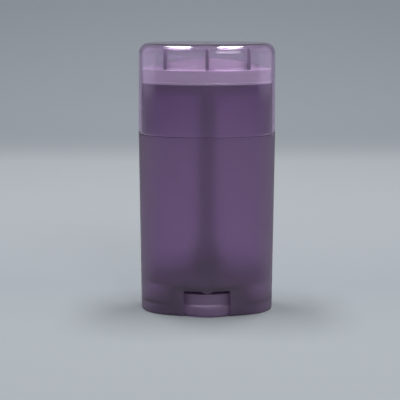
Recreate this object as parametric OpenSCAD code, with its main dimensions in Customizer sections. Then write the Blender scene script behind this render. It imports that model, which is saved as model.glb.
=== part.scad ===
// Oval twist-up deodorant stick container, empty, with its overcap on.
// Five mouldings: barrel, screw wheel, elevator, inner seal and cap.
// Millimetres. +X runs across the broad face, -Y is the front, +Z is up.
// The origin is at the centre of the foot that the barrel stands on.

/* [Oval outline] */
// Full width of the barrel at the parting line under the cap
body_w = 61; // [54:1:68]
// Full depth of the barrel at the parting line
body_d = 35.2; // [33:0.2:40]
// Radius of the two narrow ends
end_r = 14.5; // [13:0.5:16]

/* [Heights] */
// Overall height to the top of the closed cap
total_h = 120.6; // [110:0.1:135]
// Height of the cap's side, from the shoulder that it closes on
cap_h = 40.1; // [36:0.1:46]
// Depth of the barrel's mouth below the top of the closed cap
mouth_drop = 17.5; // [17.2:0.1:22]
// Depth of the free end of the screw below the mouth
screw_drop = 5.6; // [5:0.1:12]

/* [Barrel] */
// How far the barrel narrows from the parting line to the foot, each side
barrel_draft = 0.6; // [0:0.1:1]
// Thickness of the neck at the shoulder
neck_wall = 1; // [0.8:0.1:1.6]
// How far the outside of the neck narrows up to the rim
neck_draft = 0.25; // [0:0.05:0.4]
// Rounding of the barrel's bottom edge
foot_round = 1; // [0.4:0.1:1.4]
// Underside of the floor beside the wheel housing
floor_z = 4.5; // [3:0.5:7]
// Thickness of the floor
floor_t = 1.3; // [1:0.1:2]
// Thickness of the round wall and the ceiling of the wheel housing
housing_t = 1.4; // [1:0.1:2]
// Distance from the broad face in to where the wheel's clearance opens each finger window
window_in = 1.97; // [1.6:0.01:2.2]
// Width of the small lip in the middle of each window's top edge
lip_w = 5.2; // [3:0.2:8]

/* [Screw wheel] */
// Radius of the wheel's grip flange
wheel_r = 18.3; // [18:0.1:19]
// Height of the top of the grip flange
flange_z = 4.9; // [3:0.1:6]
// Rise of the sloped shoulder above the flange
slope_h = 0.6; // [0.2:0.1:1]
// Radius of the wheel above the flange
drum_r = 17.2; // [16:0.1:17.8]
// Height of the wheel's top face
wheel_top_z = 10.2; // [8.5:0.1:12]
// Wall thickness of the wheel
wheel_wall = 1.2; // [0.9:0.1:1.6]
// Radius of the screw over the crests of its thread
screw_r = 4; // [3.4:0.1:4.6]
// Length of the tapered tip of the screw
tip_h = 1.5; // [0.5:0.5:3]
// Radius of the hollow up the middle of the wheel's hub
core_r = 2.2; // [1.5:0.1:2.8]
// Number of stiffening ribs under the wheel
wheel_ribs = 6; // [4:1:8]

/* [Elevator] */
// Thickness of the elevator's plate
plate_t = 1.4; // [1:0.1:2]
// Height of the elevator's wiping wall
skirt_h = 7; // [5:0.5:10]
// Thickness of the wiping wall
skirt_t = 1.1; // [0.8:0.1:1.6]
// Height of the threaded sleeve above the underside of the plate
sleeve_h = 15.5; // [12:0.5:20]
// Outer radius of the threaded sleeve
sleeve_r = 6; // [5.5:0.1:7]
// Reach of the gussets from the screw's axis
gusset_r = 13.5; // [10:0.5:14]
// Thickness of each gusset
gusset_t = 1.2; // [0.8:0.1:2]
// Number of gussets round the sleeve
gussets = 6; // [4:2:8]

/* [Inner seal] */
// Thickness of the flange that lies on the rim
seal_flange_t = 1; // [0.8:0.1:1.5]
// Height of the seal's straight band above its flange
seal_band_h = 5.2; // [4:0.1:6]
// Rise of the dome above the band
dome_h = 4.7; // [3:0.1:5.5]
// Thickness of the seal's walls
seal_wall = 1; // [0.8:0.1:1.4]
// How far the plug reaches down into the mouth
plug_h = 4.3; // [3:0.1:6]
// Distance from the middle rib to each side rib
rib_step = 18; // [14:0.5:19]
// Thickness of the grip ribs
rib_t = 1.6; // [1:0.1:2.2]
// Height of the ribs above the band
rib_h = 9; // [7:0.1:9.2]
// Distance that the ribs stop short of the band's edge
rib_end = 1.3; // [1:0.1:3]

/* [Cap] */
// Thickness of the cap's side wall
cap_wall = 1; // [0.8:0.1:1.4]
// Thickness of the cap's top
cap_top_t = 1.3; // [1:0.1:1.6]
// Radius of the cap's rounded top edge
cap_round = 4.5; // [3:0.5:5]
// How far the cap narrows from its open edge to its top, each side
cap_draft = 0.42; // [0:0.02:0.6]
// How far the bead at the open edge stands proud
bead_out = 0.15; // [0:0.05:0.4]
// Height of that bead
bead_h = 0.9; // [0.5:0.1:2]
// Radius of the gate mark on the top
gate_r = 0.6; // [0.4:0.1:1]
// Height of the gate mark
gate_h = 0.4; // [0.2:0.1:0.8]

/* [Clearances] */
// Gap between the cap and the neck, and between the cap and the seal's edge
cap_fit = 0.25; // [0.2:0.05:0.4]
// Gap between faces that one piece closes or rests on
seat_gap = 0.1; // [0.05:0.05:0.3]
// Gap between the seal's plug and the mouth
plug_fit = 0.25; // [0.2:0.05:0.4]
// Gap between the elevator and the bore
slide_gap = 0.25; // [0.2:0.05:0.4]
// Gap round the wheel in its housing
wheel_gap = 0.5; // [0.4:0.1:0.8]
// Gap above the wheel, under its bearing and the window's lip
top_gap = 0.3; // [0.2:0.1:0.6]
// Height of the wheel's bottom above the foot
wheel_lift = 0.15; // [0.1:0.05:0.5]
// Radial gap of the screw in its bearing and in the sleeve
running_gap = 0.07; // [0.03:0.01:0.1]
// Gap between the cap's open edge and the shoulder
shoulder_gap = 0.15; // [0.1:0.05:0.3]
// Gap between the elevator and the housing at the elevator's lowest place
park_gap = 0.3; // [0.1:0.1:1]
// How far the seal's flange stays inside the rim's edge
flange_back = 0.08; // [0:0.02:0.2]
// How far the seal's band stands in from the flange's edge
band_back = 0.3; // [0.1:0.1:0.6]

/* [Hidden] */
$fn = 96;
overlap = 0.5;
// Width of the swept ring at the edge of a plate. A core fills the plate from the middle of the ring inwards.
ring_w = 6;

// The outline is four arcs: two narrow ends and two broad faces, tangent where they meet.
// The angle where they meet is rounded, so that the arcs end in exactly the same place.
half_w = body_w / 2;
end_x = half_w - end_r;
broad_angle = round(200 * atan((body_d / 2 - end_r) / end_x)) / 100;
end_angle = 90 - broad_angle;
broad_r = end_r + end_x / sin(broad_angle);
broad_y = end_x / tan(broad_angle);
half_d = broad_r - broad_y;

// Insets from the outline at the parting line
bore_in = cap_wall + cap_fit + neck_wall;
neck_in = cap_wall + cap_fit;
rim_in = neck_in + neck_draft;
slide_in = bore_in + slide_gap;
flange_in = rim_in + flange_back;
band_in = flange_in + band_back;
plug_in = bore_in + plug_fit;

// Levels
parting_z = total_h - cap_h;
rim_z = total_h - mouth_drop;
screw_top_z = rim_z - screw_drop;
ceiling_z = wheel_top_z + 5 * top_gap;
housing_top_z = ceiling_z + housing_t;
lip_z = wheel_top_z + top_gap + seat_gap;
carrier_z = housing_top_z + park_gap;
seal_z = rim_z + seat_gap;
band_z = seal_z + seal_flange_t;
ledge_z = band_z + seal_band_h;
cap_z = parting_z + shoulder_gap;
cap_inner_z = total_h - cap_top_t;

// Wheel housing
chamber_r = wheel_r + wheel_gap;
window_w = 2 * sqrt(pow(chamber_r, 2) - pow(half_d - window_in, 2));
journal_r = screw_r + 0.1;
bearing_r = journal_r + running_gap;
housing_foot_z = 0.6;

// Outward distance of the outline's broad face from the X axis, at a place along X
function broad_depth(x, inset) = sqrt(pow(broad_r - inset, 2) - x * x) - broad_y;

// Points of an arc, counted from angle a0 to angle a1
function arc(cx, cy, r, a0, a1, steps = 8) =
    [for (i = [0:steps]) let (a = a0 + (a1 - a0) * i / steps) [cx + r * cos(a), cy + r * sin(a)]];

// The whole oval, moved inwards by a distance, as a loop of points.
// It has no point where two arcs meet, because the core inside a swept ring must not end on a joint.
function oval_points(inset) = [
    for (side = [0, 1]) let (turn = 180 * side, sign = 1 - 2 * side) each concat(
        arc(sign * end_x, 0, end_r - inset, turn - 0.8 * end_angle, turn + 0.8 * end_angle, 5),
        arc(0, -sign * broad_y, broad_r - inset,
            turn + 90 - 0.8 * broad_angle, turn + 90 + 0.8 * broad_angle, 5))
];

// Moves by whole millimetres, then thousandths, then the rest, so that no digit of the length is lost
module move_exactly(v) {
    whole = [for (length = v) floor(length)];
    part = [for (i = [0:len(v) - 1]) floor(1000 * (v[i] - whole[i])) / 1000];
    translate(whole) translate(part) translate(v - whole - part) children();
}

// A profile carried round the oval. Its X is the distance outwards from the outline, its Y is height.
module around_oval() {
    for (turn = [0, 180]) rotate([0, 0, turn]) {
        move_exactly([end_x, 0, 0])
            rotate_extrude(angle = 2 * end_angle, start = -end_angle)
                move_exactly([end_r, 0]) children();
        move_exactly([0, broad_y, 0])
            rotate_extrude(angle = 2 * broad_angle, start = -90 - broad_angle)
                move_exactly([broad_r, 0]) children();
    }
}

// A plain oval core between two levels. Its faceted edge is always buried in the wall or ring round it.
module oval_core(inset, z0, z1) {
    translate([0, 0, z0]) linear_extrude(z1 - z0) polygon(oval_points(inset));
}

// Barrel: one moulding with a floor, a raised round housing for the wheel and a window each side

module barrel_wall() {
    outer_foot = -barrel_draft;
    around_oval() polygon(concat(
        [[-bore_in, 0]],
        arc(outer_foot - foot_round, foot_round, foot_round, -90, 0, 5),
        [[0, parting_z], [-neck_in, parting_z], [-rim_in, rim_z], [-bore_in, rim_z]]));
}

module wheel_housing() {
    intersection() {
        translate([0, 0, housing_foot_z])
            cylinder(h = housing_top_z - housing_foot_z, r = chamber_r + housing_t);
        oval_core(bore_in - overlap, 0, housing_top_z + 1);
    }
}

module window_lip() {
    rise = ceiling_z - lip_z;
    r = (pow(lip_w / 2, 2) + rise * rise) / (2 * rise);
    translate([0, 0, lip_z + r]) rotate([90, 0, 0])
        cylinder(h = body_d, r = r, center = true);
}

module wheel_chamber() {
    difference() {
        union() {
            translate([0, 0, -1]) cylinder(h = ceiling_z + 1, r = chamber_r);
            translate([-window_w / 2, -body_d / 2 - 1, -1])
                cube([window_w, body_d + 2, ceiling_z + 1]);
        }
        difference() {
            window_lip();
            cube([body_w, body_d - 2 * bore_in - barrel_draft, 4 * ceiling_z], center = true);
        }
    }
}

module barrel() {
    color([0.38, 0.30, 0.42])
    difference() {
        union() {
            difference() {
                union() {
                    barrel_wall();
                    oval_core(bore_in - overlap, floor_z, floor_z + floor_t);
                    wheel_housing();
                }
                wheel_chamber();
            }
            translate([0, 0, wheel_top_z + top_gap])
                cylinder(h = housing_top_z - wheel_top_z - top_gap, r = sleeve_r);
        }
        cylinder(h = housing_top_z + 1, r = bearing_r);
    }
}

// Screw wheel: a thin hand wheel and the screw spindle, moulded in one

module screw_wheel() {
    foot_bevel = 0.6;
    top_bevel = 0.4;
    hub_wall = 1.5;
    rib_inset = 0.2;
    rib_reach = drum_r - wheel_wall - core_r;
    rib_z = flange_z + slope_h - wheel_wall + rib_inset;
    snap_z = housing_top_z + seat_gap;
    snap_out = 0.35;
    snap_h = 0.4;
    color([0.36, 0.33, 0.40])
    difference() {
        union() {
            difference() {
                rotate_extrude() polygon([
                    [0, wheel_lift], [wheel_r - foot_bevel, wheel_lift],
                    [wheel_r, wheel_lift + 2 * foot_bevel],
                    [wheel_r, flange_z], [drum_r, flange_z + slope_h],
                    [drum_r, wheel_top_z - top_bevel], [drum_r - top_bevel, wheel_top_z],
                    [0, wheel_top_z]]);
                rotate_extrude() polygon([
                    [0, -1], [wheel_r - wheel_wall, -1], [wheel_r - wheel_wall, flange_z - wheel_wall],
                    [drum_r - wheel_wall, flange_z + slope_h - wheel_wall],
                    [drum_r - wheel_wall, wheel_top_z - wheel_wall], [0, wheel_top_z - wheel_wall]]);
            }
            for (i = [0:wheel_ribs - 1]) rotate([0, 0, 360 * i / wheel_ribs])
                translate([core_r + hub_wall / 2, -wheel_wall / 2, rib_z])
                    cube([rib_reach, wheel_wall, wheel_top_z - flange_z - slope_h - 2 * rib_inset]);
            translate([0, 0, wheel_lift + 1])
                cylinder(h = wheel_top_z - wheel_lift - 1, r = core_r + hub_wall);
            rotate_extrude() polygon([
                [0, wheel_top_z - overlap], [journal_r, wheel_top_z - overlap], [journal_r, snap_z],
                [journal_r + snap_out, snap_z + snap_h / 4], [journal_r + snap_out, snap_z + snap_h],
                [screw_r, snap_z + snap_h + 0.6], [screw_r, screw_top_z - tip_h],
                [screw_r - tip_h / 2, screw_top_z], [0, screw_top_z]]);
        }
        translate([0, 0, -1]) cylinder(h = 1 + wheel_top_z - wheel_wall - 0.3, r = core_r);
    }
}

// Elevator: the carrier that lifts the stick, with a wiping wall and a threaded sleeve

module gusset() {
    shoulder_z = carrier_z + sleeve_h - 1.5;
    rotate([90, 0, 0]) translate([0, 0, -gusset_t / 2]) linear_extrude(gusset_t) polygon([
        [sleeve_r - overlap, carrier_z + plate_t - overlap],
        [gusset_r, carrier_z + plate_t - overlap],
        [gusset_r, carrier_z + plate_t],
        [sleeve_r, shoulder_z],
        [sleeve_r - overlap, shoulder_z]]);
}

module elevator() {
    lead_in = 1;
    color([0.52, 0.44, 0.56])
    difference() {
        union() {
            around_oval() polygon([
                [-slide_in - ring_w, carrier_z], [-slide_in, carrier_z],
                [-slide_in, carrier_z + skirt_h], [-slide_in - skirt_t, carrier_z + skirt_h],
                [-slide_in - skirt_t, carrier_z + plate_t], [-slide_in - ring_w, carrier_z + plate_t]]);
            oval_core(slide_in + ring_w / 2, carrier_z, carrier_z + plate_t);
            translate([0, 0, carrier_z]) cylinder(h = sleeve_h, r = sleeve_r);
            for (i = [0:gussets - 1]) rotate([0, 0, 360 * i / gussets]) gusset();
        }
        translate([0, 0, carrier_z - 1])
            cylinder(h = sleeve_h + 2, r = screw_r + running_gap);
        translate([0, 0, carrier_z - 1])
            cylinder(h = plate_t + 1, r = screw_r + lead_in);
    }
}

// Inner seal: a domed plug that keeps the mouth closed, pulled out by its ribs

module seal_ring() {
    lip_in = band_in + seal_wall;
    throat_in = plug_in + seal_wall;
    around_oval() polygon([
        [-throat_in, seal_z - plug_h], [-plug_in, seal_z - plug_h], [-plug_in, seal_z],
        [-flange_in, seal_z], [-flange_in, band_z], [-band_in, band_z], [-band_in, ledge_z],
        [-band_in - ring_w, ledge_z], [-band_in - ring_w, ledge_z - seal_wall],
        [-lip_in, ledge_z - seal_wall], [-lip_in, band_z], [-throat_in, band_z]]);
    oval_core(band_in + ring_w / 2, ledge_z - seal_wall, ledge_z);
}

// A cushion, arched along the width and across the depth, cut off level below
module dome(shrink) {
    end_ledge = 1.3;
    side_ledge = 1;
    foot_x = half_w - band_in - end_ledge;
    foot_y = half_d - band_in - side_ledge;
    long_r = (foot_x * foot_x + dome_h * dome_h) / (2 * dome_h);
    short_r = (foot_y * foot_y + dome_h * dome_h) / (2 * dome_h);
    tip = foot_x + 1.5;
    difference() {
        translate([0, 0, ledge_z + dome_h - short_r]) rotate([0, 90, 0])
            rotate_extrude() intersection() {
                translate([short_r - long_r - shrink, 0]) circle(r = long_r, $fn = 360);
                translate([0, -tip]) square([body_w, 2 * tip]);
            }
        translate([-body_w, -body_w, ledge_z - shrink - 0.1 - 2 * body_w])
            cube(2 * body_w);
    }
}

module grip_rib(x) {
    reach = broad_depth(abs(x) + rib_t / 2, band_in) - rib_end;
    translate([x - rib_t / 2, -reach, ledge_z - seal_wall / 2])
        cube([rib_t, 2 * reach, rib_h + seal_wall / 2]);
}

module inner_seal() {
    color([0.66, 0.58, 0.68])
    difference() {
        union() {
            seal_ring();
            dome(0);
            for (i = [-1:1]) grip_rib(i * rib_step);
        }
        dome(seal_wall);
    }
}

// Cap: a clear overcap that closes on the barrel's shoulder

module cap_shell() {
    top_in = cap_draft + cap_round;
    inner_r = cap_round - cap_wall;
    inner_top_z = cap_inner_z - inner_r;
    around_oval() polygon(concat(
        [[-cap_wall, cap_z], [bead_out, cap_z], [bead_out, cap_z + bead_h - bead_out],
            [0, cap_z + bead_h]],
        arc(-top_in, total_h - cap_round, cap_round, 0, 90, 6),
        [[-top_in - ring_w, total_h], [-top_in - ring_w, cap_inner_z]],
        arc(-top_in, inner_top_z, inner_r, 90, 0, 6)));
    oval_core(top_in + ring_w / 2, cap_inner_z, total_h);
}

module cap() {
    color([0.55, 0.48, 0.60, 0.6])
    union() {
        cap_shell();
        translate([0, 0, total_h - overlap]) cylinder(h = gate_h + overlap, r = gate_r);
    }
}

barrel();
screw_wheel();
elevator();
inner_seal();
cap();
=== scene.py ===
"""An empty twist-up stick container of violet plastic, standing with its clear overcap on."""
from math import cos, pi, radians, sin, sqrt, tan

import bmesh
import bpy
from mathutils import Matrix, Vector


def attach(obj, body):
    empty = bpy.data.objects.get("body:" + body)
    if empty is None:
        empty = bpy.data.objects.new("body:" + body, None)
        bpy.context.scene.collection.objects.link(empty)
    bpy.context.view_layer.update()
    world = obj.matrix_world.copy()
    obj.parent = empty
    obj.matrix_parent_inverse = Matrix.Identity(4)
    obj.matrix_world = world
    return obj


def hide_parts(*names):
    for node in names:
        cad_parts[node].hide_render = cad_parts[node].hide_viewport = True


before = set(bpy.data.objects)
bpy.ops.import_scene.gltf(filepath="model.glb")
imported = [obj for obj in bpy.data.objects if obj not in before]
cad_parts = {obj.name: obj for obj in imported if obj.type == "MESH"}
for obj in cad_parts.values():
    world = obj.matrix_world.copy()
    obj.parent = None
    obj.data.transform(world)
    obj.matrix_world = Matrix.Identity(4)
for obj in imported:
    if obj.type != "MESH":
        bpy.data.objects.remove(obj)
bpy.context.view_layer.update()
# Sizes are written in millimetres.
# A name that ends in IN is a distance inwards from the oval outline at the parting line.
MM = 0.001

# Barrel
# The tube that holds the stick, one injection moulding of violet polypropylene with a satin outside.
# Its wall is tapered a little to leave the mould, and the neck is set back so that the cap closes flush.
# The foot carries a round housing for the hand wheel, open to the fingers through a window each side.
BODY_WIDTH = 61.0
END_R = 14.5
END_X = BODY_WIDTH / 2 - END_R
BROAD_TURN = radians(21.93)
BROAD_R = END_R + END_X / sin(BROAD_TURN)
BROAD_Y = END_X / tan(BROAD_TURN)
HALF_DEPTH = BROAD_R - BROAD_Y
PARTING_Z = 80.5
RIM_Z = 103.1
FOOT_IN = 0.6
FOOT_ROUND = 1.0
BORE_IN = 2.25
NECK_IN = 1.25
RIM_IN = 1.5
FLOOR_Z = 4.5
FLOOR_T = 1.3
WHEEL_TOP_Z = 10.2
TOP_GAP = 0.3
CEILING_Z = WHEEL_TOP_Z + 5 * TOP_GAP
HOUSING_T = 1.4
HOUSING_TOP_Z = CEILING_Z + HOUSING_T
CHAMBER_R = 18.8
WINDOW_W = 20.9
LIP_W = 5.2
LIP_Z = WHEEL_TOP_Z + TOP_GAP + 0.1
BOSS_R = 6.0
BEARING_R = 4.17
VIOLET = (0.71, 0.51, 0.79)
VIOLET_DEEP = (0.65, 0.45, 0.75)
DYE = (0.71, 0.69, 0.68)
DYE_DENSITY = 370.0
PLASTIC_IOR = 1.49
CLOUD_SCALE = 55.0
CURVE_STEP = radians(11)
SHARP_TURN = radians(38)
LIP_SIDES = 256
HOUSING_FOOT_Z = 0.6
LIMIT_FOOT_Z = 0.3
WINDOW_FOOT_Z = -1.5
BEARING_FOOT_Z = 5.0
ROUND_STEPS = 144
# SUNK is how far a shape reaches into the one it joins, PAST how far a cutter reaches beyond,
# and HAIR keeps two faces from lying in one plane.
SUNK = 0.5
PAST = 1.0
HAIR = 0.01


def oval_stations(end_steps=44, broad_steps=26):
    """Places round the outline: an arc's centre, its radius and the outward direction there."""
    stations = []
    for side in (1, -1):
        for i in range(end_steps):
            turn = (BROAD_TURN - pi / 2) * (1 - 2 * i / end_steps)
            stations.append((side * END_X, 0, END_R, side * cos(turn), side * sin(turn)))
        for i in range(broad_steps):
            turn = pi / 2 - BROAD_TURN * (1 - 2 * i / broad_steps)
            stations.append((0, -side * BROAD_Y, BROAD_R, side * cos(turn), side * sin(turn)))
    return stations


def round_stations(steps=96):
    """Places round a circle on the upright axis."""
    return [(0, 0, 0, cos(2 * pi * i / steps), sin(2 * pi * i / steps)) for i in range(steps)]


def rounded(corners, looped=True, ease=0.25):
    """Profile points from corners of (outward, height, radius), with a short straight beside each curve."""
    count = len(corners)
    places = [Vector((x, z)) for x, z, radius in corners]
    cuts, halves = [], []
    for i, (x, z, radius) in enumerate(corners):
        back = places[i - 1] - places[i]
        on = places[(i + 1) % count] - places[i]
        half = back.angle(on) / 2
        curved = radius and (looped or 0 < i < count - 1)
        cuts.append(radius / tan(half) if curved else 0.0)
        halves.append(half)
    points = []
    for i, (x, z, radius) in enumerate(corners):
        if not cuts[i]:
            points.append((x, z))
            continue
        spans = [(places[j % count] - places[i], cuts[j % count]) for j in (i - 1, i + 1)]
        legs = [span.normalized() for span, cut in spans]
        eases = [min(ease, (span.length - cut - cuts[i]) / 3) for span, cut in spans]
        centre = places[i] + (legs[0] + legs[1]).normalized() * (radius / sin(halves[i]))
        first, last = (places[i] + leg * cuts[i] - centre for leg in legs)
        sweep = first.angle(last)
        steps = max(3, round(sweep / CURVE_STEP))
        if eases[0] > 0.01:
            points.append(tuple(places[i] + legs[0] * (cuts[i] + eases[0])))
        for k in range(steps + 1):
            part = k / steps
            spoke = (first * sin((1 - part) * sweep) + last * sin(part * sweep)) / sin(sweep)
            points.append(tuple(centre + spoke))
        if eases[1] > 0.01:
            points.append(tuple(places[i] + legs[1] * (cuts[i] + eases[1])))
    return points


def new_piece(name, vertices, faces):
    """A mesh object whose faces all point outwards."""
    mesh = bpy.data.meshes.new(name)
    mesh.from_pydata([Vector(v) * MM for v in vertices], [], faces)
    shell = bmesh.new()
    shell.from_mesh(mesh)
    bmesh.ops.remove_doubles(shell, verts=shell.verts, dist=1e-7)
    bmesh.ops.recalc_face_normals(shell, faces=shell.faces)
    shell.to_mesh(mesh)
    shell.free()
    piece = bpy.data.objects.new(name, mesh)
    bpy.context.scene.collection.objects.link(piece)
    return piece


def carried(name, profile, stations, looped=True):
    """A profile of (outward, height) carried round the stations. Two flat faces close an open one."""
    vertices = [
        (cx + (r + out) * dx, cy + (r + out) * dy, z)
        for cx, cy, r, dx, dy in stations
        for out, z in profile
    ]
    n, m = len(stations), len(profile)
    faces = []
    for i in range(n):
        here, there = i * m, (i + 1) % n * m
        for j in range(m if looped else m - 1):
            k = (j + 1) % m
            faces.append((here + j, there + j, there + k, here + k))
    if not looped:
        faces.append([i * m for i in range(n)])
        faces.append([i * m + m - 1 for i in range(n)])
    return new_piece(name, vertices, faces)


def block(name, low, high):
    """A plain block between two corners, used only to cut with."""
    vertices = [(x, y, z) for x in (low[0], high[0]) for y in (low[1], high[1]) for z in (low[2], high[2])]
    faces = [(0, 1, 3, 2), (4, 6, 7, 5), (0, 4, 5, 1), (2, 3, 7, 6), (0, 2, 6, 4), (1, 5, 7, 3)]
    return new_piece(name, vertices, faces)


def settled(piece):
    """The piece with its modifiers made part of its mesh."""
    ready = piece.evaluated_get(bpy.context.evaluated_depsgraph_get())
    mesh = bpy.data.meshes.new_from_object(ready)
    piece.modifiers.clear()
    piece.data = mesh
    return piece


def fitted(piece, other, how):
    """The piece joined with, cut by or kept inside another, which is used up."""
    fit = piece.modifiers.new("fit", "BOOLEAN")
    fit.operation, fit.solver, fit.object = how, "EXACT", other
    settled(piece)
    bpy.data.objects.remove(other)
    return piece


def finished(piece, material, body, node):
    """The piece smoothed between its real edges, in its material and on its body."""
    shell = bmesh.new()
    shell.from_mesh(piece.data)
    bmesh.ops.remove_doubles(shell, verts=shell.verts, dist=2e-7)
    shell.to_mesh(piece.data)
    shell.free()
    piece.data.materials.clear()
    piece.data.materials.append(material)
    piece.data.polygons.foreach_set("material_index", [0] * len(piece.data.polygons))
    piece.data.polygons.foreach_set("use_smooth", [True] * len(piece.data.polygons))
    piece.data.set_sharp_from_angle(angle=SHARP_TURN)
    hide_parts(node)
    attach(piece, body)


class Nodes:
    """Writes a node tree as nested calls: an input is given a value or another node's output."""

    def __init__(self, tree):
        self.tree = tree

    def add(self, kind, inputs=None, **settings):
        node = self.tree.nodes.new(kind)
        for name, value in settings.items():
            setattr(node, name, value)
        for name, value in (inputs or {}).items():
            socket = node.inputs[name]
            if isinstance(value, bpy.types.NodeSocket):
                self.tree.links.new(value, socket)
            else:
                socket.default_value = value
        return node


def plastic(name, pale, deep, rough, clear, grain, grain_size, dye, density, gloss=0.5):
    """Moulded plastic: cloudy colour, a satin grain, light through it and dye that darkens with depth."""
    material = bpy.data.materials.new(name)
    material.use_nodes = True
    material.node_tree.nodes.clear()
    nodes = Nodes(material.node_tree)
    place = nodes.add("ShaderNodeTexCoord").outputs["Object"]
    clouds = nodes.add(
        "ShaderNodeTexNoise", {"Vector": place, "Scale": CLOUD_SCALE, "Detail": 3.0}
    ).outputs["Fac"]
    tint = nodes.add(
        "ShaderNodeMix", {"Factor": clouds, "A": (*deep, 1.0), "B": (*pale, 1.0)}, data_type="RGBA"
    ).outputs["Result"]
    texture = nodes.add(
        "ShaderNodeTexNoise", {"Vector": place, "Scale": 1.0 / grain_size, "Detail": 2.0}
    ).outputs["Fac"]
    dull = nodes.add(
        "ShaderNodeMapRange",
        {"Value": clouds, "From Min": 0.3, "From Max": 0.7, "To Min": rough * 0.9, "To Max": rough * 1.1},
    ).outputs["Result"]
    relief = nodes.add(
        "ShaderNodeBump", {"Strength": 1.0, "Distance": grain, "Height": texture}
    ).outputs["Normal"]
    surface = nodes.add(
        "ShaderNodeBsdfPrincipled",
        {
            "Base Color": tint,
            "Roughness": dull,
            "IOR": PLASTIC_IOR,
            "Specular IOR Level": gloss,
            "Transmission Weight": clear,
            "Normal": relief,
        },
    )
    inside = nodes.add("ShaderNodeVolumeAbsorption", {"Color": (*dye, 1.0), "Density": density})
    nodes.add("ShaderNodeOutputMaterial", {
        "Surface": surface.outputs["BSDF"], "Volume": inside.outputs["Volume"]})
    return material


barrel_plastic = plastic(
    "Satin violet barrel", VIOLET, VIOLET_DEEP, rough=0.46, clear=0.93, grain=0.00002, grain_size=0.0004,
    dye=DYE, density=DYE_DENSITY, gloss=0.4,
)
oval = oval_stations()
barrel = carried(
    "violet_barrel",
    rounded([
        (-BORE_IN, 0, 0.2), (-FOOT_IN, 0, FOOT_ROUND), (0, PARTING_Z, 0.2), (-NECK_IN, PARTING_Z, 0.15),
        (-RIM_IN, RIM_Z, 0.25), (-BORE_IN, RIM_Z, 0.2),
    ]),
    oval,
)
inside_wall = BORE_IN - SUNK
barrel = fitted(
    barrel,
    carried("floor", [(-inside_wall, FLOOR_Z), (-inside_wall, FLOOR_Z + FLOOR_T)], oval, False),
    "UNION",
)
housing_r = CHAMBER_R + HOUSING_T
housing = carried(
    "housing", [(housing_r, HOUSING_FOOT_Z), (housing_r, HOUSING_TOP_Z)], round_stations(ROUND_STEPS), False
)
limit = [(-inside_wall, LIMIT_FOOT_Z), (-inside_wall, HOUSING_TOP_Z + PAST)]
housing = fitted(housing, carried("housing limit", limit, oval, False), "INTERSECT")
barrel = fitted(barrel, housing, "UNION")
chamber = carried(
    "chamber", [(CHAMBER_R, -PAST), (CHAMBER_R, CEILING_Z)], round_stations(ROUND_STEPS), False
)
chamber = fitted(
    chamber,
    block(
        "window",
        (-WINDOW_W / 2, -HALF_DEPTH - PAST, WINDOW_FOOT_Z),
        (WINDOW_W / 2, HALF_DEPTH + PAST, CEILING_Z - HAIR),
    ),
    "UNION",
)
lip_rise = CEILING_Z - LIP_Z
lip_r = ((LIP_W / 2) ** 2 + lip_rise**2) / (2 * lip_rise)
lip_depth = HALF_DEPTH - BORE_IN - FOOT_IN / 2
for front in (-1, 1):
    near, far = front * lip_depth, front * (HALF_DEPTH + 2 * PAST)
    turns = [2 * pi * i / LIP_SIDES for i in range(LIP_SIDES)]
    outline = [(lip_r * sin(turn), LIP_Z + lip_r - lip_r * cos(turn)) for turn in turns]
    ring = [(x, y, z) for y in (near, far) for x, z in outline]
    pairs = [(i, (i + 1) % LIP_SIDES) for i in range(LIP_SIDES)]
    sides = [(i, j, LIP_SIDES + j, LIP_SIDES + i) for i, j in pairs]
    ends = [list(range(LIP_SIDES)), list(range(LIP_SIDES, 2 * LIP_SIDES))]
    lip = new_piece("window lip", ring, [*sides, *ends])
    chamber = fitted(chamber, lip, "DIFFERENCE")
barrel = fitted(barrel, chamber, "DIFFERENCE")
barrel = fitted(
    barrel,
    carried(
        "boss", [(BOSS_R, WHEEL_TOP_Z + TOP_GAP), (BOSS_R, HOUSING_TOP_Z - HAIR)], round_stations(), False
    ),
    "UNION",
)
barrel = fitted(
    barrel,
    carried(
        "bearing", [(BEARING_R, BEARING_FOOT_Z), (BEARING_R, HOUSING_TOP_Z + PAST)], round_stations(), False
    ),
    "DIFFERENCE",
)
finished(barrel, barrel_plastic, "barrel", "barrel")

# Screw wheel
# The hand wheel and the long screw that lifts the stick, moulded in one from the same violet plastic.
# It is pushed into the housing from below until its snap bead clicks through the bearing, and hangs there.
WHEEL_R = 18.3
FLANGE_Z = 4.9
SLOPE_H = 0.6
DRUM_R = 17.2
WHEEL_WALL = 1.2
WHEEL_LIFT = 0.15
WHEEL_RIBS = 6
CORE_R = 2.2
JOURNAL_R = BEARING_R - 0.07
SNAP_Z = HOUSING_TOP_Z + 0.1
SCREW_R = 4.0
SCREW_ROOT_R = 3.2
SCREW_PITCH = 5.0
SCREW_TOP_Z = 97.5
TIP_H = 1.5
HUB_WALL = 1.5
HUB_RISE = 1.0
GRIP_BEVEL = 0.6
GRIP_BEVEL_H = 1.2
SNAP_OUT = 0.35
THREAD_FLANK = 0.62
THREAD_CREST = 0.30
THREAD_FADE = 2.5


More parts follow.
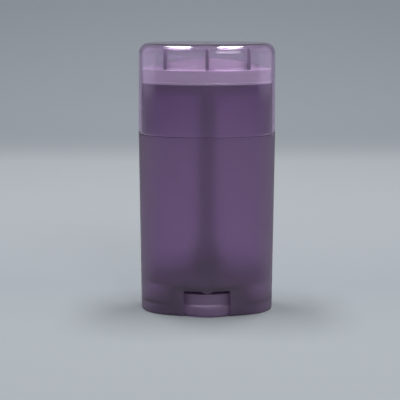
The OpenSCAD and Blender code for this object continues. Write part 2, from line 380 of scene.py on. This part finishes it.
def grown(name, sizes, whole_numbers, build, material):
    """A plain mesh object made once by a node tree, whose sizes are the tree's named inputs."""
    tree = bpy.data.node_groups.new(name, "GeometryNodeTree")
    for label in sizes:
        kind = "NodeSocketInt" if label in whole_numbers else "NodeSocketFloat"
        tree.interface.new_socket(label, in_out="INPUT", socket_type=kind)
    tree.interface.new_socket("Geometry", in_out="OUTPUT", socket_type="NodeSocketGeometry")
    nodes = Nodes(tree)
    given = nodes.add("NodeGroupInput").outputs
    shape = build(nodes, given)
    plain = nodes.add("GeometryNodeRealizeInstances", {"Geometry": shape}).outputs["Geometry"]
    dressed = nodes.add("GeometryNodeSetMaterial", {"Geometry": plain, "Material": material})
    nodes.add("NodeGroupOutput", {"Geometry": dressed.outputs["Geometry"]})
    piece = bpy.data.objects.new(name, bpy.data.meshes.new(name))
    bpy.context.scene.collection.objects.link(piece)
    maker = piece.modifiers.new(name, "NODES")
    maker.node_group = tree
    for item in tree.interface.items_tree:
        if item.in_out == "INPUT":
            maker[item.identifier] = sizes[item.name]
    return settled(piece)


def sum_of(nodes, how, *values):
    """The result of a chain of sums on node outputs and numbers."""
    result = values[0]
    for value in values[1:]:
        node = nodes.add("ShaderNodeMath", operation=how)
        for socket, term in zip(node.inputs, (result, value)):
            if isinstance(term, bpy.types.NodeSocket):
                nodes.tree.links.new(term, socket)
            else:
                socket.default_value = term
        result = node.outputs[0]
    return result


def fins(nodes, given):
    """Upright fins round the axis, whose tops slope from an inner to an outer height."""
    cube = nodes.add("GeometryNodeMeshCube", {"Size": (1.0, 1.0, 1.0)}).outputs["Mesh"]
    where = nodes.add("GeometryNodeInputPosition").outputs[0]
    split = nodes.add("ShaderNodeSeparateXYZ", {"Vector": where})
    along = sum_of(nodes, "ADD", split.outputs["X"], 0.5)
    up = sum_of(nodes, "ADD", split.outputs["Z"], 0.5)
    reach = sum_of(nodes, "SUBTRACT", given["Outer radius"], given["Inner radius"])
    x = sum_of(nodes, "ADD", given["Inner radius"], sum_of(nodes, "MULTIPLY", along, reach))
    y = sum_of(nodes, "MULTIPLY", split.outputs["Y"], given["Thickness"])
    fall = sum_of(nodes, "SUBTRACT", given["Outer top"], given["Inner top"])
    top = sum_of(nodes, "ADD", given["Inner top"], sum_of(nodes, "MULTIPLY", along, fall))
    rise = sum_of(nodes, "MULTIPLY", up, sum_of(nodes, "SUBTRACT", top, given["Foot"]))
    z = sum_of(nodes, "ADD", given["Foot"], rise)
    place = nodes.add("ShaderNodeCombineXYZ", {"X": x, "Y": y, "Z": z}).outputs[0]
    fin = nodes.add("GeometryNodeSetPosition", {"Geometry": cube, "Position": place}).outputs["Geometry"]
    points = nodes.add("GeometryNodePoints", {"Count": given["Count"]}).outputs[0]
    index = nodes.add("GeometryNodeInputIndex").outputs[0]
    turn = sum_of(nodes, "DIVIDE", sum_of(nodes, "MULTIPLY", index, 2 * pi), given["Count"])
    spin = nodes.add("ShaderNodeCombineXYZ", {"Z": turn}).outputs[0]
    return nodes.add(
        "GeometryNodeInstanceOnPoints", {"Points": points, "Instance": fin, "Rotation": spin}
    ).outputs["Instances"]


def thread(nodes, given):
    """A spindle with one right-hand thread, which fades out at both ends."""
    length = sum_of(nodes, "SUBTRACT", given["Top"], given["Foot"])
    rod = nodes.add(
        "GeometryNodeMeshCylinder",
        {"Vertices": given["Sides"], "Side Segments": given["Rings"], "Radius": 1.0, "Depth": length},
    ).outputs["Mesh"]
    where = nodes.add("GeometryNodeInputPosition").outputs[0]
    x, y, z = nodes.add("ShaderNodeSeparateXYZ", {"Vector": where}).outputs
    height = sum_of(nodes, "ADD", z, sum_of(nodes, "MULTIPLY", length, 0.5))
    turn = sum_of(nodes, "DIVIDE", sum_of(nodes, "ARCTAN2", y, x), 2 * pi)
    rise = sum_of(nodes, "DIVIDE", height, given["Pitch"])
    phase = nodes.add(
        "ShaderNodeMath", {0: sum_of(nodes, "SUBTRACT", rise, turn), 1: 1.0, 2: 0.0}, operation="WRAP"
    ).outputs[0]
    off_middle = nodes.add(
        "ShaderNodeMath", {0: sum_of(nodes, "SUBTRACT", phase, 0.5)}, operation="ABSOLUTE"
    ).outputs[0]
    off_crest = sum_of(nodes, "MULTIPLY", off_middle, 2.0)
    ridge = nodes.add(
        "ShaderNodeMapRange",
        {
            "Value": off_crest, "From Min": THREAD_FLANK, "From Max": THREAD_CREST,
            "To Min": 0.0, "To Max": 1.0,
        },
        interpolation_type="SMOOTHSTEP",
    ).outputs["Result"]
    from_end = sum_of(nodes, "MINIMUM", height, sum_of(nodes, "SUBTRACT", length, height))
    fade = nodes.add(
        "ShaderNodeMapRange",
        {"Value": from_end, "From Min": 0.0, "From Max": given["Fade"], "To Min": 0.0, "To Max": 1.0},
        interpolation_type="SMOOTHSTEP",
    ).outputs["Result"]
    depth = sum_of(nodes, "SUBTRACT", given["Crest radius"], given["Root radius"])
    out = sum_of(nodes, "ADD", given["Root radius"], sum_of(nodes, "MULTIPLY", ridge, fade, depth))
    place = nodes.add("ShaderNodeCombineXYZ", {
        "X": sum_of(nodes, "MULTIPLY", x, out),
        "Y": sum_of(nodes, "MULTIPLY", y, out),
        "Z": sum_of(nodes, "ADD", height, given["Foot"]),
    }).outputs[0]
    return nodes.add("GeometryNodeSetPosition", {"Geometry": rod, "Position": place}).outputs["Geometry"]


wheel_plastic = plastic(
    "Satin violet wheel", VIOLET, VIOLET_DEEP, rough=0.5, clear=0.84, grain=0.00001, grain_size=0.0005,
    dye=DYE, density=0.45 * DYE_DENSITY, gloss=0.35,
)
disc_under = WHEEL_TOP_Z - WHEEL_WALL
rim_inner = WHEEL_R - WHEEL_WALL
drum_inner = DRUM_R - WHEEL_WALL
hub_r = CORE_R + HUB_WALL
hub_foot = WHEEL_LIFT + HUB_RISE
snap_r = JOURNAL_R + SNAP_OUT
wheel = carried(
    "hand_wheel_and_screw",
    rounded([
        (CORE_R, disc_under - 0.3, 0), (CORE_R, hub_foot, 0.2), (hub_r, hub_foot, 0.3),
        (hub_r, disc_under, 0.3), (drum_inner, disc_under, 0.4),
        (drum_inner, FLANGE_Z + SLOPE_H - WHEEL_WALL, 0.3), (rim_inner, FLANGE_Z - WHEEL_WALL, 0.3),
        (rim_inner, WHEEL_LIFT, 0.2), (WHEEL_R - GRIP_BEVEL, WHEEL_LIFT, 0.2),
        (WHEEL_R, WHEEL_LIFT + GRIP_BEVEL_H, 0.4),
        (WHEEL_R, FLANGE_Z, 0.25), (DRUM_R, FLANGE_Z + SLOPE_H, 0.25), (DRUM_R, WHEEL_TOP_Z, 0.4),
        (JOURNAL_R, WHEEL_TOP_Z, 0.15), (JOURNAL_R, SNAP_Z, 0.05), (snap_r, SNAP_Z + 0.1, 0.05),
        (snap_r, SNAP_Z + 0.4, 0.1), (SCREW_R, SNAP_Z + 1, 0.1), (SCREW_R, SNAP_Z + 2, 0.2),
        (SCREW_ROOT_R - 0.4, SNAP_Z + 2.6, 0),
    ], looped=False),
    round_stations(ROUND_STEPS),
    False,
)
wheel_ribs = grown(
    "Wheel ribs",
    {
        "Count": WHEEL_RIBS, "Inner radius": (CORE_R + 0.6) * MM, "Outer radius": (DRUM_R - 0.6) * MM,
        "Thickness": WHEEL_WALL * MM, "Foot": (FLANGE_Z + SLOPE_H - WHEEL_WALL + 0.2) * MM,
        "Inner top": (disc_under + 0.4) * MM, "Outer top": (disc_under + 0.4) * MM,
    },
    ["Count"], fins, wheel_plastic,
)
wheel = fitted(wheel, wheel_ribs, "UNION")
spindle = grown(
    "Screw thread",
    {
        "Sides": 64, "Rings": 260, "Root radius": SCREW_ROOT_R * MM, "Crest radius": SCREW_R * MM,
        "Pitch": SCREW_PITCH * MM, "Foot": (SNAP_Z + 1.5) * MM, "Top": (SCREW_TOP_Z - TIP_H) * MM,
        "Fade": THREAD_FADE * MM,
    },
    ["Sides", "Rings"], thread, wheel_plastic,
)
wheel = fitted(wheel, spindle, "UNION")
tip_foot = SCREW_TOP_Z - TIP_H
tip = carried(
    "screw tip",
    rounded([
        (SCREW_ROOT_R - 0.3, tip_foot - SUNK, 0), (SCREW_ROOT_R - 0.05, tip_foot - SUNK, 0),
        (SCREW_ROOT_R - 0.05, tip_foot, 0), (SCREW_ROOT_R - 0.75, SCREW_TOP_Z, 0.3),
        (SCREW_ROOT_R - 1.8, SCREW_TOP_Z, 0),
    ], looped=False),
    round_stations(64),
    False,
)
wheel = fitted(wheel, tip, "UNION")
finished(wheel, wheel_plastic, "wheel", "screw_wheel")

# Elevator
# The carrier that the stick is cast on, one moulding. Its plate fills the bore, a thin wall wipes the sides,
# and a threaded sleeve with gussets rides up the screw. In the empty pack it is down at the housing.
CARRIER_Z = HOUSING_TOP_Z + 0.3
PLATE_T = 1.4
SKIRT_H = 7.0
SKIRT_T = 1.1
SLEEVE_H = 15.5
SLEEVE_R = 6.0
SLIDE_IN = BORE_IN + 0.25
GUSSET_R = 13.5
GUSSET_T = 1.2
GUSSETS = 6
PLATE_REACH = 6.0
SLEEVE_WALL = 2.0
THREAD_PLAY = 0.07
SLEEVE_RELIEF = 1.0
ELEVATOR_VIOLET = (0.86, 0.78, 0.90)

elevator_plastic = plastic(
    "Satin violet elevator", ELEVATOR_VIOLET, VIOLET, rough=0.25, clear=0.92, grain=0.00001,
    grain_size=0.0005, dye=DYE, density=0.3 * DYE_DENSITY,
)
plate_top = CARRIER_Z + PLATE_T
elevator = carried(
    "threaded_elevator",
    rounded([
        (-SLIDE_IN - PLATE_REACH, CARRIER_Z, 0), (-SLIDE_IN, CARRIER_Z, 0.2),
        (-SLIDE_IN, CARRIER_Z + SKIRT_H, 0.25),
        (-SLIDE_IN - SKIRT_T, CARRIER_Z + SKIRT_H, 0.25), (-SLIDE_IN - SKIRT_T, plate_top, 0.3),
        (-SLIDE_IN - PLATE_REACH, plate_top, 0),
    ], looped=False),
    oval,
    False,
)
sleeve_top = CARRIER_Z + SLEEVE_H
sleeve = carried(
    "sleeve",
    rounded([
        (SLEEVE_R - SLEEVE_WALL, CARRIER_Z + 0.2, 0), (SLEEVE_R, CARRIER_Z + 0.2, 0),
        (SLEEVE_R, sleeve_top, 0.3), (SLEEVE_R - SLEEVE_WALL, sleeve_top, 0),
    ], looped=False),
    round_stations(),
    False,
)
elevator = fitted(elevator, sleeve, "UNION")
gussets = grown(
    "Gussets",
    {
        "Count": GUSSETS, "Inner radius": (SLEEVE_R - SUNK) * MM, "Outer radius": GUSSET_R * MM,
        "Thickness": GUSSET_T * MM, "Foot": (plate_top - SUNK) * MM, "Inner top": (sleeve_top - 1.5) * MM,
        "Outer top": (plate_top + 0.01) * MM,
    },
    ["Count"], fins, elevator_plastic,
)
elevator = fitted(elevator, gussets, "UNION")
for bore_r, bore_top in ((SCREW_R + THREAD_PLAY, sleeve_top + PAST), (SCREW_R + SLEEVE_RELIEF, plate_top)):
    bore = carried("sleeve bore", [(bore_r, CARRIER_Z - PAST), (bore_r, bore_top)], round_stations(), False)
    elevator = fitted(elevator, bore, "DIFFERENCE")
finished(elevator, elevator_plastic, "elevator", "elevator")

# Inner seal
# The domed disc that keeps the mouth closed until first use, one moulding of uncoloured, milky plastic.
# Its plug is pressed into the mouth, its flange lies on the rim, and it is pulled out by three cross ribs.
SEAL_Z = RIM_Z + 0.1
BAND_Z = SEAL_Z + 1.0
LEDGE_Z = BAND_Z + 5.2
DOME_H = 4.7
SEAL_WALL = 1.0
PLUG_H = 4.3
FLANGE_IN = RIM_IN + 0.08
BAND_IN = FLANGE_IN + 0.3
PLUG_IN = BORE_IN + 0.25
RIB_STEP = 18.0
RIB_T = 1.6
RIB_H = 9.0
RIB_END = 1.3
RIBS = 3
RIB_EDGE = 0.25
DOME_IN_X = 1.3
DOME_IN_Y = 1.5
LEDGE_REACH = 7.0
MILK = (0.93, 0.88, 0.95)
MILK_DEEP = (0.88, 0.83, 0.91)
MILK_DYE = (0.82, 0.74, 0.87)
MILK_DENSITY = 420.0
BAND_CLEAR = 0.02
DOME_CLEAR = 0.72


def dome(name, shrink, around=120, across=26):
    """A cushion arched along the width and across the depth, closed by a flat face below."""
    foot_x = BODY_WIDTH / 2 - BAND_IN - DOME_IN_X
    foot_y = HALF_DEPTH - BAND_IN - DOME_IN_Y
    long_r = (foot_x**2 + DOME_H**2) / (2 * DOME_H)
    short_r = (foot_y**2 + DOME_H**2) / (2 * DOME_H)
    axis_z = LEDGE_Z + DOME_H - short_r
    cut_z = LEDGE_Z - shrink - 0.1

    def height(x, y):
        spine = short_r - long_r - shrink + sqrt(long_r**2 - x**2)
        return axis_z + sqrt(max(spine**2 - y**2, 0))

    spokes = []
    for i in range(around):
        turn = 2 * pi * i / around
        near, far = 0.0, 1.2
        for _ in range(40):
            middle = (near + far) / 2
            if height(middle * foot_x * cos(turn), middle * foot_y * sin(turn)) > cut_z:
                near = middle
            else:
                far = middle
        spokes.append((near * foot_x * cos(turn), near * foot_y * sin(turn)))
    vertices = [(0, 0, height(0, 0))]
    for k in range(1, across + 1):
        share = k / across
        vertices += [(share * x, share * y, height(share * x, share * y)) for x, y in spokes]
    faces = [(0, 1 + i, 1 + (i + 1) % around) for i in range(around)]
    for k in range(across - 1):
        inner, outer = 1 + k * around, 1 + (k + 1) * around
        for i in range(around):
            j = (i + 1) % around
            faces.append((inner + i, outer + i, outer + j, inner + j))
    faces.append([1 + (across - 1) * around + i for i in range(around)])
    return new_piece(name, vertices, faces)


def grip_ribs(nodes, given):
    """Thin upright ribs side by side, each as long as the band's top is deep where the rib stands."""
    cube = nodes.add("GeometryNodeMeshCube", {"Size": (1.0, 1.0, 1.0)}).outputs["Mesh"]
    index = nodes.add("GeometryNodeInputIndex").outputs[0]
    middle = sum_of(nodes, "DIVIDE", sum_of(nodes, "SUBTRACT", given["Count"], 1.0), 2.0)
    x = sum_of(nodes, "MULTIPLY", sum_of(nodes, "SUBTRACT", index, middle), given["Step"])
    z = sum_of(nodes, "ADD", given["Foot"], sum_of(nodes, "MULTIPLY", given["Height"], 0.5))
    place = nodes.add("ShaderNodeCombineXYZ", {"X": x, "Z": z}).outputs[0]
    points = nodes.add("GeometryNodePoints", {"Count": given["Count"], "Position": place}).outputs[0]
    aside = nodes.add("ShaderNodeMath", {0: x}, operation="ABSOLUTE").outputs[0]
    edge = sum_of(nodes, "ADD", aside, sum_of(nodes, "MULTIPLY", given["Thickness"], 0.5))
    across = sum_of(nodes, "SUBTRACT", sum_of(nodes, "POWER", given["Face radius"], 2.0),
                    sum_of(nodes, "POWER", edge, 2.0))
    reach = sum_of(nodes, "SUBTRACT", sum_of(nodes, "POWER", across, 0.5), given["Face centre"])
    length = sum_of(nodes, "MULTIPLY", reach, 2.0)
    size = nodes.add("ShaderNodeCombineXYZ", {
        "X": given["Thickness"], "Y": length, "Z": given["Height"]}).outputs[0]
    return nodes.add(
        "GeometryNodeInstanceOnPoints", {"Points": points, "Instance": cube, "Scale": size}
    ).outputs["Instances"]


def by_height(material, socket, low_z, high_z, below, above):
    """Lets one property of a plastic change with height, from one value below to another above."""
    nodes = Nodes(material.node_tree)
    place = nodes.add("ShaderNodeTexCoord").outputs["Object"]
    height = nodes.add("ShaderNodeSeparateXYZ", {"Vector": place}).outputs["Z"]
    value = nodes.add("ShaderNodeMapRange", {
        "Value": height, "From Min": low_z * MM, "From Max": high_z * MM, "To Min": below, "To Max": above,
    }).outputs["Result"]
    nodes.tree.links.new(value, nodes.tree.nodes["Principled BSDF"].inputs[socket])


seal_plastic = plastic(
    "Milky seal", MILK, MILK_DEEP, rough=0.2, clear=DOME_CLEAR, grain=0.000006, grain_size=0.0006,
    dye=MILK_DYE, density=MILK_DENSITY,
)
by_height(seal_plastic, "Transmission Weight", LEDGE_Z - 0.5, LEDGE_Z + 0.5, BAND_CLEAR, DOME_CLEAR)
seal = carried(
    "milky_inner_seal",
    rounded([
        (-BAND_IN - LEDGE_REACH, LEDGE_Z - SEAL_WALL, 0), (-BAND_IN - SEAL_WALL, LEDGE_Z - SEAL_WALL, 0.3),
        (-BAND_IN - SEAL_WALL, BAND_Z - 0.3, 0.2), (-PLUG_IN - SEAL_WALL, BAND_Z - 0.7, 0.2),
        (-PLUG_IN - SEAL_WALL, SEAL_Z - PLUG_H, 0.2), (-PLUG_IN, SEAL_Z - PLUG_H, 0.3),
        (-PLUG_IN, SEAL_Z, 0), (-FLANGE_IN, SEAL_Z, 0.15), (-FLANGE_IN, BAND_Z, 0.2),
        (-BAND_IN, BAND_Z, 0.1), (-BAND_IN, LEDGE_Z, 0.35), (-BAND_IN - LEDGE_REACH, LEDGE_Z, 0),
    ], looped=False),
    oval,
    False,
)
seal = fitted(seal, dome("dome", 0), "UNION")
rib_foot = LEDGE_Z - SEAL_WALL / 2
ribs = grown(
    "Grip ribs",
    {
        "Count": RIBS, "Step": RIB_STEP * MM, "Thickness": RIB_T * MM, "Foot": rib_foot * MM,
        "Height": (RIB_H + SEAL_WALL / 2) * MM, "Face radius": (BROAD_R - BAND_IN) * MM,
        "Face centre": (BROAD_Y + RIB_END) * MM,
    },
    ["Count"], grip_ribs, seal_plastic,
)
soft_edge = ribs.modifiers.new("soft edge", "BEVEL")
soft_edge.width, soft_edge.segments = RIB_EDGE * MM, 3
seal = fitted(seal, settled(ribs), "UNION")
seal = fitted(seal, dome("dome inside", SEAL_WALL), "DIFFERENCE")
finished(seal, seal_plastic, "seal", "inner_seal")

# Cap
# The clear overcap, one moulding with a faint violet dye and polished, so the seal shows through it.
# It slips over the neck until the small bead at its open edge is just above the barrel's shoulder.
TOTAL_H = 120.6
CAP_Z = PARTING_Z + 0.15
TOP_REACH = 9.0
CAP_WALL = 1.0
CAP_TOP_T = 1.3
CAP_ROUND = 4.5
CAP_DRAFT = 0.42
BEAD_OUT = 0.15
BEAD_H = 0.9
GATE_R = 0.6
GATE_H = 0.4
GATE_SUNK = 0.4
CLEAR_PALE = (0.98, 0.97, 0.99)
CLEAR_DEEP = (0.96, 0.95, 0.98)
CAP_DYE = (0.83, 0.45, 0.90)
CAP_DYE_DENSITY = 300.0

cap_plastic = plastic(
    "Clear violet cap", CLEAR_PALE, CLEAR_DEEP, rough=0.05, clear=0.98, grain=0.000003, grain_size=0.002,
    dye=CAP_DYE, density=CAP_DYE_DENSITY, gloss=0.35,
)
cap_inner_z = TOTAL_H - CAP_TOP_T
cap = carried(
    "clear_overcap",
    rounded([
        (-CAP_DRAFT - TOP_REACH, cap_inner_z, 0),
        (-CAP_DRAFT - CAP_WALL, cap_inner_z, CAP_ROUND - CAP_WALL),
        (-CAP_WALL, CAP_Z, 0.2), (BEAD_OUT, CAP_Z, 0.1), (BEAD_OUT, CAP_Z + BEAD_H / 3, 0.3),
        (0, CAP_Z + BEAD_H, 0.6), (-CAP_DRAFT, TOTAL_H, CAP_ROUND), (-CAP_DRAFT - TOP_REACH, TOTAL_H, 0),
    ], looped=False),
    oval,
    False,
)
gate = carried(
    "gate mark",
    rounded([
        (0.1, TOTAL_H - GATE_SUNK, 0), (GATE_R, TOTAL_H - GATE_SUNK, 0), (GATE_R, TOTAL_H + GATE_H, 0.2),
        (0.1, TOTAL_H + GATE_H, 0),
    ], looped=False),
    round_stations(24),
    False,
)
cap = fitted(cap, gate, "UNION")
finished(cap, cap_plastic, "cap", "cap")

# The table and the paper behind it
# A sheet of pale grey-blue paper lies under the container and rises behind it in one long curve, with
# painted shade in its colour.
PAPER_SPAN = 3.0
PAPER_FRONT = -1.3
PAPER_BACK = 0.75
PAPER_RISE = 1.2
PAPER_BEND = 0.25
BEND_STEPS = 24
TONE_SPAN = (-0.2, 0.8)
FADE_SPAN = (0.02, 0.12)
FADED = 0.9
# The paper's colour along its depth holds painted shade: a darker band just behind the container and darker
# tones where the sheet curves up.
PAPER_TONES = [
    (0.0, (0.192, 0.207, 0.220)),
    (0.17, (0.198, 0.214, 0.227)),
    (0.235, (0.184, 0.200, 0.215)),
    (0.42, (0.212, 0.225, 0.239)),
    (0.62, (0.229, 0.243, 0.256)),
    (0.75, (0.172, 0.186, 0.203)),
    (0.92, (0.158, 0.174, 0.193)),
]

paper_line = [(PAPER_FRONT, 0.0)]
for i in range(BEND_STEPS + 1):
    turn = pi / 2 * i / BEND_STEPS
    along = PAPER_BACK - PAPER_BEND + PAPER_BEND * sin(turn)
    paper_line.append((along, PAPER_BEND - PAPER_BEND * cos(turn)))
paper_line.append((PAPER_BACK, PAPER_RISE))
paper_mesh = bpy.data.meshes.new("paper")
paper_points = [(x * PAPER_SPAN / 2, y, z) for y, z in paper_line for x in (-1, 1)]
paper_faces = [(2 * i, 2 * i + 1, 2 * i + 3, 2 * i + 2) for i in range(len(paper_line) - 1)]
paper_mesh.from_pydata(paper_points, [], paper_faces)
paper = bpy.data.objects.new("paper", paper_mesh)
bpy.context.scene.collection.objects.link(paper)
paper_mesh.polygons.foreach_set("use_smooth", [True] * len(paper_mesh.polygons))

paper_look = bpy.data.materials.new("Grey-blue paper")
paper_look.use_nodes = True
paper_look.node_tree.nodes.clear()
nodes = Nodes(paper_look.node_tree)
place = nodes.add("ShaderNodeTexCoord").outputs["Object"]
split = nodes.add("ShaderNodeSeparateXYZ", {"Vector": place})
fibre = nodes.add("ShaderNodeTexNoise", {"Vector": place, "Scale": 900.0, "Detail": 4.0}).outputs["Fac"]
back = nodes.add("ShaderNodeMapRange", {
    "Value": split.outputs["Y"], "From Min": TONE_SPAN[0], "From Max": TONE_SPAN[1]}).outputs["Result"]
# Grey-blue paper colour with painted shade, darker just behind the container and up the curve.
tone = nodes.add("ShaderNodeValToRGB", {"Fac": back})
ramp = tone.color_ramp
for at, colour in PAPER_TONES:
    stop = ramp.elements[0] if at == 0.0 else ramp.elements.new(at)
    stop.position, stop.color = at, (*colour, 1.0)
ramp.elements.remove(ramp.elements[-1])
# Painted shade: the paper's colour is dimmed as the sheet rises behind the container.
fade_up = nodes.add("ShaderNodeMapRange", {
    "Value": split.outputs["Z"], "From Min": FADE_SPAN[0], "From Max": FADE_SPAN[1],
    "To Min": 1.0, "To Max": FADED,
}).outputs["Result"]
shade = nodes.add(
    "ShaderNodeMix", {"Factor": 1.0, "A": tone.outputs["Color"], "B": fade_up},
    data_type="RGBA", blend_type="MULTIPLY",
).outputs["Result"]
tooth = nodes.add(
    "ShaderNodeBump", {"Strength": 0.1, "Distance": 0.0002, "Height": fibre}
).outputs["Normal"]
sheet_surface = nodes.add("ShaderNodeBsdfPrincipled", {
    "Base Color": shade, "Roughness": 0.85, "Normal": tooth})
nodes.add("ShaderNodeOutputMaterial", {"Surface": sheet_surface.outputs["BSDF"]})
paper_mesh.materials.append(paper_look)

# Light and camera
# Two overhead softboxes leave a gap over the container, two wide side panels and a pale room fill
# the shadows, and the camera looks down a little from half a metre away.
CAMERA_PLACE = (-0.0031, -0.500, 0.148)
CAMERA_PITCH = radians(78.9)
CAMERA_LENS = 101.25
CENTRE = (0, 0, 0.05)
OVERHEAD_Y = 0.08
OVERHEAD_Z = 1.0
PANEL_OUT = 0.95
PANEL_TINT = (0.90, 0.94, 1.0)
ROOM_TINT = (0.80, 0.86, 0.92, 1.0)
ROOM_STRENGTH = 0.3


def softbox(name, place, aim, width, length, power, colour=(1.0, 1.0, 1.0)):
    """A rectangular lamp that faces a point."""
    lamp = bpy.data.lights.new(name, "AREA")
    lamp.shape, lamp.size, lamp.size_y = "RECTANGLE", width, length
    lamp.energy, lamp.color = power, colour
    holder = bpy.data.objects.new(name, lamp)
    bpy.context.scene.collection.objects.link(holder)
    holder.location = place
    holder.rotation_euler = (Vector(aim) - Vector(place)).to_track_quat("-Z", "Y").to_euler()


for side, overhead_x in ((-1, -0.2), (1, 0.176)):
    softbox(
        f"overhead {side}", (overhead_x, OVERHEAD_Y, OVERHEAD_Z), (overhead_x, OVERHEAD_Y, 0.0),
        width=0.17, length=0.38, power=8.8,
    )
    softbox(
        f"side panel {side}", (side * PANEL_OUT, 0.0, 0.45), CENTRE, width=1.4, length=1.2, power=3.2,
        colour=PANEL_TINT,
    )
softbox("front fill", (0.45, -1.1, 0.9), CENTRE, width=0.5, length=0.5, power=5.0)

world = bpy.data.worlds.new("Pale room")
bpy.context.scene.world = world
world.use_nodes = True
world.node_tree.nodes["Background"].inputs["Color"].default_value = ROOM_TINT
world.node_tree.nodes["Background"].inputs["Strength"].default_value = ROOM_STRENGTH

camera = bpy.data.objects.new("camera", bpy.data.cameras.new("camera"))
bpy.context.scene.collection.objects.link(camera)
camera.location = CAMERA_PLACE
camera.rotation_euler = (CAMERA_PITCH, 0, 0)
camera.data.lens, camera.data.sensor_width = CAMERA_LENS, 36.0
camera.data.clip_start, camera.data.clip_end = 0.01, 10.0
bpy.context.scene.camera = camera
bpy.context.scene.view_settings.view_transform = "Standard"
